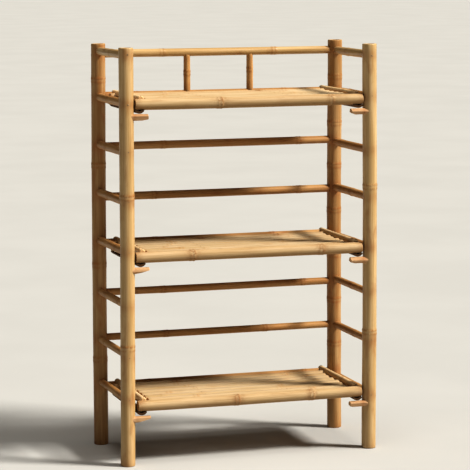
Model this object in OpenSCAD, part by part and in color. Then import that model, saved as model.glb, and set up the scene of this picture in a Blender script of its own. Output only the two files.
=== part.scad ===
// Three-shelf ladder-sided plant stand made of round bamboo canes.
// Millimetres, +Z up, origin on the floor at the middle of the footprint, front is -Y.

/* [Frame] */
// Height of the four posts
post_h = 1000; // [980:5:1040]
// Diameter of a post
post_d = 35; // [34:0.5:37]
// Wall of a post, which is a hollow cane
post_wall = 5.5; // [5:0.5:6]
// Distance between the left and right post axes
post_dx = 617; // [580:1:660]
// Distance between the front and rear post axes
post_dy = 250; // [240:1:262]
// Axis of the top rung and top back rail below the post tops
top_drop = 25; // [24:1:32]

/* [Ladder canes] */
// Diameter of the upper rungs and back rails
rung_d = 20; // [18:0.5:20.5]
// Diameter of the rungs and rails below the middle shelf
low_rung_d = 18; // [16:0.5:20]
// Gap between the post axis and the end of a rung inside the post
rung_stop = 10.8; // [10.6:0.1:11.2]
// Diameter of the two upright spindles in the top bay of the back
spindle_d = 16.5; // [15:0.5:18]
// Distance of a spindle from the middle
spindle_x = 82; // [60:1:120]

/* [Pegs] */
// Diameter of the pegs under the shelves
peg_d = 16.4; // [14:0.2:17]
// How far a peg stands in front of its post's axis
peg_shift = 8; // [6:0.5:8.5]
// Distance from the inner side of a post to the peg's free end
peg_reach = 36; // [30:1:42]

/* [Shelves] */
// Height of the bottom shelf's front rail axis
bottom_z = 143; // [134:1:150]
// Height of the middle shelf's front rail axis
middle_z = 502; // [494:1:508]
// Height of the top shelf's front rail axis
top_z = 866.5; // [858:0.5:872]
// Diameter of a shelf's front and rear rail
rail_d = 26.4; // [25:0.2:27]
// Diameter of the end rods that cap the slats at both sides
rod_d = 14.5; // [14:0.5:16]
// Number of slats between the two rails of a shelf
slat_count = 6; // [5:1:7]
// Gap between neighbouring slats
slat_gap = 1.4; // [1:0.1:2.5]
// Height of a slat at its crown
slat_t = 8.5; // [8:0.1:9]
// Free space between a shelf and what carries it
seat_gap = 0.3; // [0.3:0.05:0.6]

/* [Hidden] */
px = post_dx / 2;
py = post_dy / 2;
pr = post_d / 2;
cav = pr - post_wall;
ring = 0.6;                                   // height of a cane's node ring
shelf_s = [bottom_z, middle_z, top_z];
// the canes stand level with the shelves and at thirds between them; the eighth is near the post
// tops. Each one was set by eye, a little above or below its even height.
rise = 5;
function level(k) = k == 7 ? post_h - top_drop
    : shelf_s[floor(k / 3)] + rise
        + (k % 3 == 0 ? 0 : (k % 3) / 3 * (shelf_s[floor(k / 3) + 1] - shelf_s[floor(k / 3)]));
left_lift = [11, -1, 0, 8, 6, 3, -2, 7];
right_lift = [-10, 3, 2, -6, -3, -8.5, 0, -1];
back_lift = [0, 2.5, -4, 0, -6.5, -3, 0, 0];
function rung_z(sx, k) = level(k) + (sx < 0 ? left_lift[k] : right_lift[k]);
function rail_z(k) = level(k) + back_lift[k];
function rung_r(k) = (k < 3 ? low_rung_d : rung_d) / 2;
rail_r = rail_d / 2;
rod_z = rail_r - 1.4;                         // end rod axis above the rail axis
slat_top = rail_r - 0.7;
slat_bot = slat_top - slat_t;
batten_t = 8;
batten_w = 24;
batten_top = -rail_r;
peg_z = batten_top - batten_t - seat_gap - peg_d / 2;
rail_half = px - pr - 3.5;                    // half length of a shelf rail
rod_x = [-267, 276];                          // left and right end rod
batten_x = rail_half - batten_w / 2;
slat_x0 = rod_x[0] + rod_d / 2 + 9;
slat_x1 = rod_x[1] - rod_d / 2 - 8;
rear_y = py - 31;
slat_y0 = -py + rail_r + 0.8;
slat_y1 = rear_y - rail_r - 0.8;
slat_p = (slat_y1 - slat_y0) / slat_count;
slat_w = slat_p - slat_gap;
bearer_r = 7.2;
bearer_tenon = 4.5;
bearer_z = slat_bot - 0.2 - bearer_r;
bearer_x = [-105, 105];
// half-round ledges under both ends of the slats
ledge_r = 14.5;
ledge_t = 9;
ledge_top = slat_bot - 0.2;
ledge_x = [slat_x0 - 7, slat_x1 + 7];
ledge_tenon = 3.6;
rail_wall = 3.6;
fit = 0.15;                                   // room around a cane in its socket
nail_r = 1.2;
tack_r = 0.8;
// rung and rail nails pass each other in a post, one above and one below its cane's axis
nail_off = 2.5;
function nail_up(sx, k) = rung_z(sx, k) > rail_z(k) - 0.1 ? nail_off : -nail_off;
// heights of the node rings on the posts, front left, front right, rear left, rear right
post_nodes = [[285, 646], [291, 651], [215, 452, 700, 910], [105, 220, 334, 450, 566, 680, 788, 906]];
cane = "burlywood";
cane_light = "wheat";
cane_dark = "peru";

$fn = 48;

// ---------- building blocks ----------

// round bar along X, Y or Z from a to b
module bar_x(r, a, b) translate([a, 0, 0]) rotate([0, 90, 0]) cylinder(r = r, h = b - a);
module bar_y(r, a, b) translate([0, a, 0]) rotate([-90, 0, 0]) cylinder(r = r, h = b - a);
module bar_z(r, a, b) translate([0, 0, a]) cylinder(r = r, h = b - a);

// outside of a cane of length h standing on z = 0, with a low ring at each height in at
module cane_z(r, h, at) {
    rotate_extrude() polygon(concat(
        [[0, 0], [r, 0]],
        [for (z = at) each [[r, z - 4], [r + ring, z - 1.2], [r + ring, z + 1.2], [r, z + 4]]],
        [[r, h], [0, h]]));
}
module cane_x(r, half, at) translate([-half, 0, 0]) rotate([0, 90, 0])
    cane_z(r, 2 * half, [for (x = at) x + half]);
module cane_y(r, half, at) translate([0, -half, 0]) rotate([-90, 0, 0])
    cane_z(r, 2 * half, [for (y = at) y + half]);

// ---------- frame ----------

// sx, sy: side of the stand, -1 is left or front
module post(sx, sy, at) {
    floors = concat([8], at, [post_h - 8]);
    translate([sx * px, sy * py, 0]) difference() {
        cane_z(pr, post_h, at);
        // the hollow, closed by a diaphragm at every ring and near both ends
        translate([0, 0, -1]) cylinder(r = cav, h = 7.5);
        translate([0, 0, post_h - 6.5]) cylinder(r = cav, h = 8);
        for (i = [0:len(floors) - 2])
            bar_z(cav, floors[i] + 1.5, floors[i + 1] - 1.5);
        for (k = [0:7]) {
            // socket of the side rung, and the nail driven through from outside
            translate([0, 0, rung_z(sx, k)]) {
                if (sy < 0) bar_y(rung_r(k) + fit, rung_stop - 0.1, pr + 2);
                else bar_y(rung_r(k) + fit, -pr - 2, -rung_stop + 0.1);
            }
            translate([0, 0, rung_z(sx, k) + nail_up(sx, k)]) {
                if (sy < 0) { bar_y(nail_r + 0.05, -pr - 1, 0); bar_y(2.3, -pr - 1, -pr + 1); }
                else { bar_y(nail_r + 0.05, 0, pr + 1); bar_y(2.3, pr - 1, pr + 1); }
            }
            // socket of the back rail and its nail
            if (sy > 0) {
                translate([0, 0, rail_z(k)]) {
                    if (sx < 0) bar_x(rung_r(k) + fit, rung_stop - 0.1, pr + 2);
                    else bar_x(rung_r(k) + fit, -pr - 2, -rung_stop + 0.1);
                }
                translate([0, 0, rail_z(k) - nail_up(sx, k)]) {
                    if (sx < 0) { bar_x(nail_r + 0.05, -pr - 1, 0); bar_x(2.3, -pr - 1, -pr + 1); }
                    else { bar_x(nail_r + 0.05, 0, pr + 1); bar_x(2.3, pr - 1, pr + 1); }
                }
            }
        }
        // sockets of the shelf pegs
        if (sy < 0) for (s = shelf_s) translate([0, -peg_shift, s + peg_z]) {
            if (sx < 0) bar_x(peg_d / 2 + fit, -3, pr + 2);
            else bar_x(peg_d / 2 + fit, -pr - 2, 3);
        }
    }
}

// side rung between a front and a rear post
module rung(sx, k) translate([sx * px, 0, rung_z(sx, k)]) difference() {
    cane_y(rung_r(k), py - rung_stop, [(k % 3 - 1) * 60 + 12]);
    for (s = [-1, 1]) translate([0, s * (py - rung_stop - 17), nail_up(sx, k)])
        bar_y(nail_r + 0.05, -18, 18);
}

// back rail between the rear posts
module back_rail(k) translate([0, py, rail_z(k)]) difference() {
    cane_x(rung_r(k), px - rung_stop, [(k % 3) * 40 - 210, (k % 4) * 50 + 110]);
    for (s = [-1, 1]) translate([s * (px - rung_stop - 17), 0, -nail_up(s, k)])
        bar_x(nail_r + 0.05, -18, 18);
    // sockets of the spindles' tenons
    if (k == 7) for (s = [-1, 1]) translate([s * spindle_x, 0, 0]) bar_z(5 + fit, -rung_r(k) - 1, -2);
    if (k == 6) for (s = [-1, 1]) translate([s * spindle_x, 0, 0]) bar_z(5 + fit, 2, rung_r(k) + 1);
}

// upright spindle between the two top back rails, its ends hollowed to sit on them
module spindle(sx) translate([sx * spindle_x, py, 0]) {
    zl = rail_z(6);
    zh = rail_z(7);
    difference() {
        translate([0, 0, zl]) cane_z(spindle_d / 2, zh - zl, [(zh - zl) * 0.56]);
        translate([0, 0, zl]) bar_x(rung_r(6) + 0.1, -20, 20);
        translate([0, 0, zh]) bar_x(rung_r(7) + 0.1, -20, 20);
    }
    bar_z(5, zl + 2.2, zl + rung_r(6) + 3);
    bar_z(5, zh - rung_r(7) - 3, zh - 2.2);
}

// the two pegs that carry the front of shelf i, bevelled at the free end
module pegs(i) for (sx = [-1, 1])
    translate([sx * px, -py - peg_shift, shelf_s[i] + peg_z]) rotate([0, -sx * 90, 0])
        rotate_extrude() polygon([[0, -2], [peg_d / 2, -2], [peg_d / 2, pr + peg_reach - 2],
            [peg_d / 2 - 2, pr + peg_reach], [0, pr + peg_reach]]);

// nails through the posts into the ends of the side rungs
module post_nails_y() for (sx = [-1, 1], sy = [-1, 1], k = [0:7])
    translate([sx * px, sy * py, rung_z(sx, k) + nail_up(sx, k)]) rotate([0, 0, sy < 0 ? 0 : 180]) {
        bar_y(nail_r, -pr + 0.5, rung_stop + 30);
        bar_y(2.1, -pr + 0.15, -pr + 0.9);
    }
module post_nails_x() for (sx = [-1, 1], k = [0:7])
    translate([sx * px, py, rail_z(k) - nail_up(sx, k)]) rotate([0, 0, sx < 0 ? 0 : 180]) {
        bar_x(nail_r, -pr + 0.5, rung_stop + 30);
        bar_x(2.1, -pr + 0.15, -pr + 0.9);
    }

// ---------- shelves, modelled about the front rail's axis at z = 0 ----------

// hollow rail along the front (sy = -1) or rear (sy = 1) of shelf i, closed by
// diaphragms at its rings and open at both ends
module shelf_rail(i, sy, at) {
    floors = concat([-rail_half + 34], at, [rail_half - 30]);
    translate([0, sy < 0 ? -py : rear_y, shelf_s[i]]) difference() {
        cane_x(rail_r, rail_half, at);
        bar_x(rail_r - rail_wall, -rail_half - 1, floors[0] - 1.5);
        bar_x(rail_r - rail_wall, floors[3] + 1.5, rail_half + 1);
        for (j = [0:2]) bar_x(rail_r - rail_wall, floors[j] + 1.5, floors[j + 1] - 1.5);
        for (x = bearer_x) translate([x, 0, bearer_z])
            if (sy < 0) bar_y(bearer_tenon + fit, 5, 20); else bar_y(bearer_tenon + fit, -20, -5);
        for (x = ledge_x) translate([x, 0, ledge_top - 4.6])
            if (sy < 0) bar_y(ledge_tenon + fit, 5, 20); else bar_y(ledge_tenon + fit, -20, -5);
        for (x = rod_x) translate([x, sy < 0 ? 10 : 0, 0]) bar_z(tack_r + 0.05, 4.8, 20);
        for (s = [-1, 1]) translate([s * batten_x, 0, 0]) bar_z(tack_r + 0.05, -20, -5);
    }
}

// end rod along the side of a shelf: its front end hollowed onto the front rail,
// then hollowed over the rear rail, and hooked over the fixed back rail
module end_rod(i, side) translate([rod_x[side], 0, shelf_s[i] + rod_z]) difference() {
    translate([0, 7.5, 0]) cane_y(rod_d / 2, py + 0.5, [side * 60 - 50]);
    for (y = [-py, rear_y]) translate([0, y, -rod_z]) bar_x(rail_r + 0.1, -20, 20);
    translate([0, py, rise - rod_z]) bar_x(rung_r(3 * i) + seat_gap, -20, 20);
    for (y = [-py + 10, rear_y]) translate([0, y, 0]) {
        bar_z(tack_r + 0.05, -20, 20);
        bar_z(1.9, rod_d / 2 - 0.9, 20);
    }
}

// one split-cane slat: flat below, crowned above
module slat_profile() {
    rc = 22;
    intersection() {
        translate([0, slat_top - rc]) circle(r = rc);
        translate([-slat_w / 2, slat_bot]) square([slat_w, slat_t + 1]);
    }
}
module slats(i) for (j = [0:slat_count - 1])
    translate([0, slat_y0 + (j + 0.5) * slat_p, shelf_s[i]]) difference() {
        translate([slat_x0, 0, 0]) rotate([90, 0, 90]) linear_extrude(slat_x1 - slat_x0) slat_profile();
        for (x = bearer_x) translate([x, 0, 0]) {
            bar_z(tack_r + 0.05, -5, 20);
            bar_z(1.9, slat_top - 0.9, 20);
        }
    }

// cross canes that carry the slats, their ends hollowed to the rails and tenoned in
module cross_canes(i) for (x = bearer_x) translate([x, 0, shelf_s[i] + bearer_z]) difference() {
    union() {
        difference() {
            bar_y(bearer_r, -py, rear_y);
            for (y = [-py, rear_y]) translate([0, y, -bearer_z]) bar_x(rail_r + 0.1, -20, 20);
        }
        bar_y(bearer_tenon, -py + 5.5, -py + rail_r + 3);
        bar_y(bearer_tenon, rear_y - rail_r - 3, rear_y - 5.5);
    }
    for (j = [0:slat_count - 1])
        translate([0, slat_y0 + (j + 0.5) * slat_p, 0]) bar_z(tack_r + 0.05, -2.2, 20);
}

// half-round ledges, flat side up, that carry both ends of the slats
module ledges(i) for (x = ledge_x) translate([x, 0, shelf_s[i]]) {
    difference() {
        translate([0, rear_y, 0]) rotate([90, 0, 0]) linear_extrude(py + rear_y) intersection() {
            translate([0, ledge_top - ledge_t + ledge_r]) circle(r = ledge_r);
            translate([-20, ledge_top - ledge_t - 1]) square([40, ledge_t + 1]);
        }
        for (y = [-py, rear_y]) translate([0, y, 0]) bar_x(rail_r + 0.1, -20, 20);
    }
    translate([0, 0, ledge_top - 4.6]) {
        bar_y(ledge_tenon, -py + 8, -py + rail_r + 3);
        bar_y(ledge_tenon, rear_y - rail_r - 3, rear_y - 8);
    }
}
module bearers(i) { cross_canes(i); ledges(i); }

// half-round battens under both rails at the shelf's ends; they sit on the pegs
module end_battens(i) for (s = [-1, 1])
    translate([s * batten_x, 0, shelf_s[i]]) difference() {
        translate([0, rear_y + 9, 0]) rotate([90, 0, 0]) linear_extrude(py + rear_y + 18) intersection() {
            translate([0, batten_top - batten_t + 14]) circle(r = 14);
            translate([-batten_w / 2, batten_top - batten_t - 1]) square([batten_w, batten_t + 1 - 0.1]);
        }
        for (y = [-py, rear_y]) translate([0, y, 0]) {
            bar_z(tack_r + 0.05, -40, -5);
            bar_z(1.9, batten_top - batten_t - 2, batten_top - batten_t + 1.2);
        }
    }

// round-headed tacks of one shelf
module tack(l) { bar_z(tack_r, -l, -0.3); bar_z(1.8, -0.7, 0); }
module tacks(i) translate([0, 0, shelf_s[i]]) {
    for (x = bearer_x, j = [0:slat_count - 1])
        translate([x, slat_y0 + (j + 0.5) * slat_p, slat_top - 0.1]) tack(slat_t + 8);
    for (x = rod_x, y = [-py + 10, rear_y]) translate([x, y, rod_z + rod_d / 2 - 0.15]) tack(13.4);
    for (s = [-1, 1], y = [-py, rear_y]) translate([s * batten_x, y, batten_top - batten_t + 0.4])
        mirror([0, 0, 1]) tack(14);
}

// ---------- one module per sub-part ----------

module post_front_left() color(cane) post(-1, -1, post_nodes[0]);
module post_front_right() color(cane) post(1, -1, post_nodes[1]);
module post_rear_left() color(cane) post(-1, 1, post_nodes[2]);
module post_rear_right() color(cane) post(1, 1, post_nodes[3]);
module left_rung_1() color(cane) rung(-1, 0);
module left_rung_2() color(cane) rung(-1, 1);
module left_rung_3() color(cane) rung(-1, 2);
module left_rung_4() color(cane) rung(-1, 3);
module left_rung_5() color(cane) rung(-1, 4);
module left_rung_6() color(cane) rung(-1, 5);
module left_rung_7() color(cane) rung(-1, 6);
module left_rung_8() color(cane) rung(-1, 7);
module right_rung_1() color(cane) rung(1, 0);
module right_rung_2() color(cane) rung(1, 1);
module right_rung_3() color(cane) rung(1, 2);
module right_rung_4() color(cane) rung(1, 3);
module right_rung_5() color(cane) rung(1, 4);
module right_rung_6() color(cane) rung(1, 5);
module right_rung_7() color(cane) rung(1, 6);
module right_rung_8() color(cane) rung(1, 7);
module back_rail_1() color(cane_dark) back_rail(0);
module back_rail_2() color(cane_dark) back_rail(1);
module back_rail_3() color(cane_dark) back_rail(2);
module back_rail_4() color(cane_dark) back_rail(3);
module back_rail_5() color(cane_dark) back_rail(4);
module back_rail_6() color(cane_dark) back_rail(5);
module back_rail_7() color(cane_dark) back_rail(6);
module back_rail_8() color(cane_dark) back_rail(7);
module back_spindle_left() color(cane) spindle(-1);
module back_spindle_right() color(cane) spindle(1);
module bottom_shelf_pegs() color(cane_light) pegs(0);
module middle_shelf_pegs() color(cane_light) pegs(1);
module top_shelf_pegs() color(cane_light) pegs(2);
module rung_nails() color("silver") post_nails_y();
module rail_nails() color("silver") post_nails_x();
module bottom_front_rail() color(cane_light) shelf_rail(0, -1, [-37, 155]);
module bottom_rear_rail() color(cane) shelf_rail(0, 1, [-130, 160]);
module bottom_end_rod_left() color(cane_light) end_rod(0, 0);
module bottom_end_rod_right() color(cane_light) end_rod(0, 1);
module bottom_slats() color(cane_light) slats(0);
module bottom_bearers() color(cane_dark) bearers(0);
module bottom_end_battens() color(cane) end_battens(0);
module bottom_nails() color("silver") tacks(0);
module middle_front_rail() color(cane_light) shelf_rail(1, -1, [-147, 180]);
module middle_rear_rail() color(cane) shelf_rail(1, 1, [-60, 140]);
module middle_end_rod_left() color(cane_light) end_rod(1, 0);
module middle_end_rod_right() color(cane_light) end_rod(1, 1);
module middle_slats() color(cane_light) slats(1);
module middle_bearers() color(cane_dark) bearers(1);
module middle_end_battens() color(cane) end_battens(1);
module middle_nails() color("silver") tacks(1);
module top_front_rail() color(cane_light) shelf_rail(2, -1, [-77, 204]);
module top_rear_rail() color(cane) shelf_rail(2, 1, [-150, 90]);
module top_end_rod_left() color(cane_light) end_rod(2, 0);
module top_end_rod_right() color(cane_light) end_rod(2, 1);
module top_slats() color(cane_light) slats(2);
module top_bearers() color(cane_dark) bearers(2);
module top_end_battens() color(cane) end_battens(2);
module top_nails() color("silver") tacks(2);

post_front_left();
post_front_right();
post_rear_left();
post_rear_right();
left_rung_1();
left_rung_2();
left_rung_3();
left_rung_4();
left_rung_5();
left_rung_6();
left_rung_7();
left_rung_8();
right_rung_1();
right_rung_2();
right_rung_3();
right_rung_4();
right_rung_5();
right_rung_6();
right_rung_7();
right_rung_8();
back_rail_1();
back_rail_2();
back_rail_3();
back_rail_4();
back_rail_5();
back_rail_6();
back_rail_7();
back_rail_8();
back_spindle_left();
back_spindle_right();
bottom_shelf_pegs();
middle_shelf_pegs();
top_shelf_pegs();
rung_nails();
rail_nails();
bottom_front_rail();
bottom_rear_rail();
bottom_end_rod_left();
bottom_end_rod_right();
bottom_slats();
bottom_bearers();
bottom_end_battens();
bottom_nails();
middle_front_rail();
middle_rear_rail();
middle_end_rod_left();
middle_end_rod_right();
middle_slats();
middle_bearers();
middle_end_battens();
middle_nails();
top_front_rail();
top_rear_rail();
top_end_rod_left();
top_end_rod_right();
top_slats();
top_bearers();
top_end_battens();
top_nails();
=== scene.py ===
import math
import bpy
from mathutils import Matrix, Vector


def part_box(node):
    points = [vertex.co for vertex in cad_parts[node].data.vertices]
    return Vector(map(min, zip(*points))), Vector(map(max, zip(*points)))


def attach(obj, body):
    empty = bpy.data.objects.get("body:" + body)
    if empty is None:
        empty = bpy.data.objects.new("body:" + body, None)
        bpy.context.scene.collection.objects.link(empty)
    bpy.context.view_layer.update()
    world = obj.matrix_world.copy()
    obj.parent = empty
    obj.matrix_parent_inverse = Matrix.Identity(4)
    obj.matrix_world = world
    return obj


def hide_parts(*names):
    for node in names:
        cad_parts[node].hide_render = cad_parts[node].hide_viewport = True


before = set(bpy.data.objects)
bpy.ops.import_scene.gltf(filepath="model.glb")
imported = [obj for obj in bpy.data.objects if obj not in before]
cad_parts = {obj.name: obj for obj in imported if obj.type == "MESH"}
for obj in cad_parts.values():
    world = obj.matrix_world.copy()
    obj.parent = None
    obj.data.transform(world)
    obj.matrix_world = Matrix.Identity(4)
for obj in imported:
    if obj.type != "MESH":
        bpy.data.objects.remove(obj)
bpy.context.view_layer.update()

import zlib

import bpy
import numpy as np
from mathutils import Matrix, Vector

MM = 0.001

# ------------------------------------------------------------------ camera
AZ, EL, ROLL = math.radians(17.77), math.radians(7.45), math.radians(-0.168)
fw = Vector((math.sin(AZ) * math.cos(EL), math.cos(AZ) * math.cos(EL), -math.sin(EL)))
rt = Vector((math.cos(AZ), -math.sin(AZ), 0.0))
up = rt.cross(fw)
rt2 = math.cos(ROLL) * rt + math.sin(ROLL) * up
up2 = -math.sin(ROLL) * rt + math.cos(ROLL) * up
cam_data = bpy.data.cameras.new("camera")
cam_data.sensor_fit = "HORIZONTAL"
cam_data.sensor_width = 36.0
cam_data.lens = 2199.0 / 470.0 * 36.0
cam_data.clip_start = 0.05
cam_data.clip_end = 600.0
cam_data.dof.use_dof = False
cam = bpy.data.objects.new("camera", cam_data)
m = Matrix((rt2, up2, -fw)).transposed().to_4x4()
m.translation = Vector((-1.6389, -5.1206, 1.2323))
cam.matrix_world = m
bpy.context.scene.collection.objects.link(cam)
bpy.context.scene.camera = cam
bpy.context.scene.view_settings.view_transform = "Standard"
bpy.context.scene.view_settings.look = "None"
bpy.context.scene.view_settings.gamma = 0.735

# ------------------------------------------------------------------ light
world = bpy.data.worlds.new("studio")
bpy.context.scene.world = world
world.use_nodes = True
bg = world.node_tree.nodes["Background"]
bg.inputs["Color"].default_value = (1.0, 0.85, 0.58, 1.0)
bg.inputs["Strength"].default_value = 0.032
# past the floor's edge a low view sees a plain backdrop as pale as the floor; it lights nothing
backdrop = world.node_tree.nodes.new("ShaderNodeBackground")
backdrop.inputs["Color"].default_value = (0.83, 0.80, 0.73, 1.0)
seen = world.node_tree.nodes.new("ShaderNodeLightPath")
either = world.node_tree.nodes.new("ShaderNodeMixShader")
world.node_tree.links.new(seen.outputs["Is Camera Ray"], either.inputs[0])
world.node_tree.links.new(bg.outputs[0], either.inputs[1])
world.node_tree.links.new(backdrop.outputs[0], either.inputs[2])
world.node_tree.links.new(either.outputs[0], world.node_tree.nodes["World Output"].inputs["Surface"])


def sun(name, towards, strength, angle, colour):
    data = bpy.data.lights.new(name, "SUN")
    data.energy = strength
    data.angle = angle
    data.color = colour
    ob = bpy.data.objects.new(name, data)
    ob.rotation_euler = towards.to_track_quat("Z", "Y").to_euler()
    ob.location = towards * 3.0
    bpy.context.scene.collection.objects.link(ob)
    return ob


flat = Vector((fw.x, fw.y, 0.0)).normalized()
key_el = math.radians(43)
key_dir = (rt * math.cos(math.radians(13)) - flat * math.sin(math.radians(13))) * math.cos(key_el) \
    + Vector((0, 0, math.sin(key_el)))
sun("key", key_dir, 5.6, math.radians(12), (1.0, 0.975, 0.92))
top_dir = (-flat * 0.10 + Vector((0, 0, 1.0))).normalized()
sun("overhead", top_dir, 1.3, math.radians(30), (1.0, 0.965, 0.90))


# ------------------------------------------------------------------ materials
class Graph:
    """A few short calls for making shader nodes."""

    def __init__(self, name):
        self.mat = bpy.data.materials.new(name)
        self.mat.use_nodes = True
        self.t = self.mat.node_tree
        self.t.nodes.clear()
        self.out = self.t.nodes.new("ShaderNodeOutputMaterial")
        self.bsdf = self.t.nodes.new("ShaderNodeBsdfPrincipled")
        self.t.links.new(self.bsdf.outputs[0], self.out.inputs[0])

    def link(self, a, b):
        self.t.links.new(a, b)

    def attr(self, name):
        n = self.t.nodes.new("ShaderNodeAttribute")
        n.attribute_type = "GEOMETRY"
        n.attribute_name = name
        return n

    def xyz(self, vec):
        n = self.t.nodes.new("ShaderNodeSeparateXYZ")
        self.link(vec, n.inputs[0])
        return n.outputs

    def scale(self, vec, s):
        n = self.t.nodes.new("ShaderNodeMapping")
        n.vector_type = "POINT"
        self.link(vec, n.inputs["Vector"])
        n.inputs["Scale"].default_value = s
        return n.outputs[0]

    def noise(self, vec, scale, detail=3.0, rough=0.55, dist=0.0):
        n = self.t.nodes.new("ShaderNodeTexNoise")
        self.link(vec, n.inputs["Vector"])
        n.inputs["Scale"].default_value = scale
        n.inputs["Detail"].default_value = detail
        n.inputs["Roughness"].default_value = rough
        n.inputs["Distortion"].default_value = dist
        return n.outputs["Fac"]

    def voronoi(self, vec, scale):
        n = self.t.nodes.new("ShaderNodeTexVoronoi")
        self.link(vec, n.inputs["Vector"])
        n.inputs["Scale"].default_value = scale
        return n.outputs["Distance"]

    def ramp(self, fac, lo, hi, a=0.0, b=1.0, smooth=True):
        n = self.t.nodes.new("ShaderNodeMapRange")
        n.interpolation_type = "SMOOTHSTEP" if smooth else "LINEAR"
        n.clamp = True
        self.link(fac, n.inputs["Value"])
        n.inputs["From Min"].default_value = lo
        n.inputs["From Max"].default_value = hi
        n.inputs["To Min"].default_value = a
        n.inputs["To Max"].default_value = b
        return n.outputs[0]

    def math(self, op, a, b=None, clamp=False):
        n = self.t.nodes.new("ShaderNodeMath")
        n.operation = op
        n.use_clamp = clamp
        for i, v in enumerate((a, b)):
            if v is None:
                continue
            if isinstance(v, (int, float)):
                n.inputs[i].default_value = v
            else:
                self.link(v, n.inputs[i])
        return n.outputs[0]

    def mix(self, fac, a, b, mode="MIX"):
        n = self.t.nodes.new("ShaderNodeMix")
        n.data_type = "RGBA"
        n.blend_type = mode
        n.clamp_factor = True
        for sock, v in ((n.inputs[0], fac), (n.inputs[6], a), (n.inputs[7], b)):
            if isinstance(v, (int, float)):
                sock.default_value = v
            elif isinstance(v, tuple):
                sock.default_value = (*v, 1.0)
            else:
                self.link(v, sock)
        return n.outputs[2]

    def bump(self, height, strength, distance, normal=None):
        n = self.t.nodes.new("ShaderNodeBump")
        n.inputs["Strength"].default_value = strength
        n.inputs["Distance"].default_value = distance
        self.link(height, n.inputs["Height"])
        if normal is not None:
            self.link(normal, n.inputs["Normal"])
        return n.outputs[0]


def bamboo(name, light, mid, deep, stain, ring, pith, rough=0.42, coat=0.12, streak=0.5, blotch=0.5):
    """Dried cane. Colour follows the fibres along the cane, the node rings and
    the handling marks, all from what the mesh stores at its vertices:
    cane = place in the straightened cane, marks = (node ring, pale band, brown
    shade), wear = (tone of the internode, dirt, cut face)."""
    g = Graph(name)
    cane = g.attr("cane").outputs["Vector"]
    marks = g.xyz(g.attr("marks").outputs["Vector"])
    wear = g.xyz(g.attr("wear").outputs["Vector"])
    fibre = g.noise(g.scale(cane, (620, 620, 8)), 1.0, 4.0, 0.6)
    fine = g.noise(g.scale(cane, (2100, 2100, 20)), 1.0, 2.0, 0.5)
    broad = g.noise(g.scale(cane, (95, 95, 4.5)), 1.0, 3.0, 0.55)
    patch = g.noise(g.scale(cane, (40, 40, 13)), 1.0, 3.0, 0.6, 0.4)
    spot = g.noise(g.scale(cane, (330, 330, 120)), 1.0, 2.0, 0.5)
    mottle = g.noise(g.scale(cane, (230, 230, 150)), 1.0, 3.0, 0.6, 0.6)
    scratch = g.noise(g.scale(cane, (900, 900, 42)), 1.0, 3.0, 0.65, 1.2)

    # wear.x is the internode's tone plus the painted shade on the lower side of lying canes
    tone = wear[0]
    col = g.mix(g.ramp(broad, 0.33, 0.67), mid, light)
    col = g.mix(g.ramp(fibre, 0.40, 0.72, 0.0, streak), col, deep)
    col = g.mix(g.ramp(fine, 0.52, 0.75, 0.0, streak * 0.45), col, light)
    col = g.mix(g.ramp(tone, 0.0, 1.0, 0.0, 0.75, smooth=False), col, deep)
    col = g.mix(g.ramp(patch, 0.50, 0.78, 0.0, blotch), col, stain)
    # waxy pale band below a node, brown shade above it, dark ring on it
    col = g.mix(g.math("MULTIPLY", marks[1], 0.35), col, light)
    uneven = g.math("MULTIPLY", g.math("ADD", patch, mottle), 0.5)
    brown = g.math("MULTIPLY", marks[2], g.ramp(uneven, 0.41, 0.55, 0.10, 1.0))
    col = g.mix(g.math("MULTIPLY", brown, 0.80), col, stain)
    col = g.mix(g.math("MULTIPLY", marks[0], 0.55), col, ring)
    # handling marks and dirt near joints and feet
    grime = g.math("MULTIPLY", wear[1], g.ramp(patch, 0.28, 0.62, 0.25, 1.0))
    col = g.mix(g.math("MULTIPLY", grime, 0.45), col, stain)
    col = g.mix(g.ramp(spot, 0.72, 0.80, 0.0, 0.35), col, stain)
    col = g.mix(g.ramp(scratch, 0.74, 0.80, 0.0, 0.35), col, light)
    # cut faces: pale pith with the darker ends of the fibres
    dots = g.ramp(g.voronoi(g.scale(cane, (1, 1, 0.2)), 1100.0), 0.12, 0.34, 0.85, 0.0)
    face = g.mix(dots, pith, stain)
    face = g.mix(g.ramp(patch, 0.35, 0.75, 0.0, 0.5), face, mid)
    # wear.y darkens the cut face: dirt at the cut, plus the painted shade inside an open hollow
    face = g.mix(g.ramp(wear[1], 0.5, 1.0, 0.0, 0.9), face, ring)
    cut = g.ramp(wear[2], 0.35, 0.65)
    col = g.mix(cut, col, face)
    g.link(col, g.bsdf.inputs["Base Color"])
    r = g.math("ADD", g.ramp(broad, 0.3, 0.7, rough - 0.06, rough + 0.07), g.ramp(spot, 0.4, 0.8, 0.0, 0.12))
    r = g.math("ADD", r, g.math("MULTIPLY", g.math("MAXIMUM", cut, marks[2]), 0.22))
    g.link(g.math("MINIMUM", r, 0.9), g.bsdf.inputs["Roughness"])
    n1 = g.bump(fibre, 0.35, 0.0005)
    n2 = g.bump(scratch, 0.22, 0.0004, n1)
    g.link(n2, g.bsdf.inputs["Normal"])
    g.bsdf.inputs["IOR"].default_value = 1.48
    g.bsdf.inputs["Specular IOR Level"].default_value = 0.22
    g.bsdf.inputs["Coat Weight"].default_value = coat
    g.bsdf.inputs["Coat Roughness"].default_value = 0.36
    return g.mat


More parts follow.
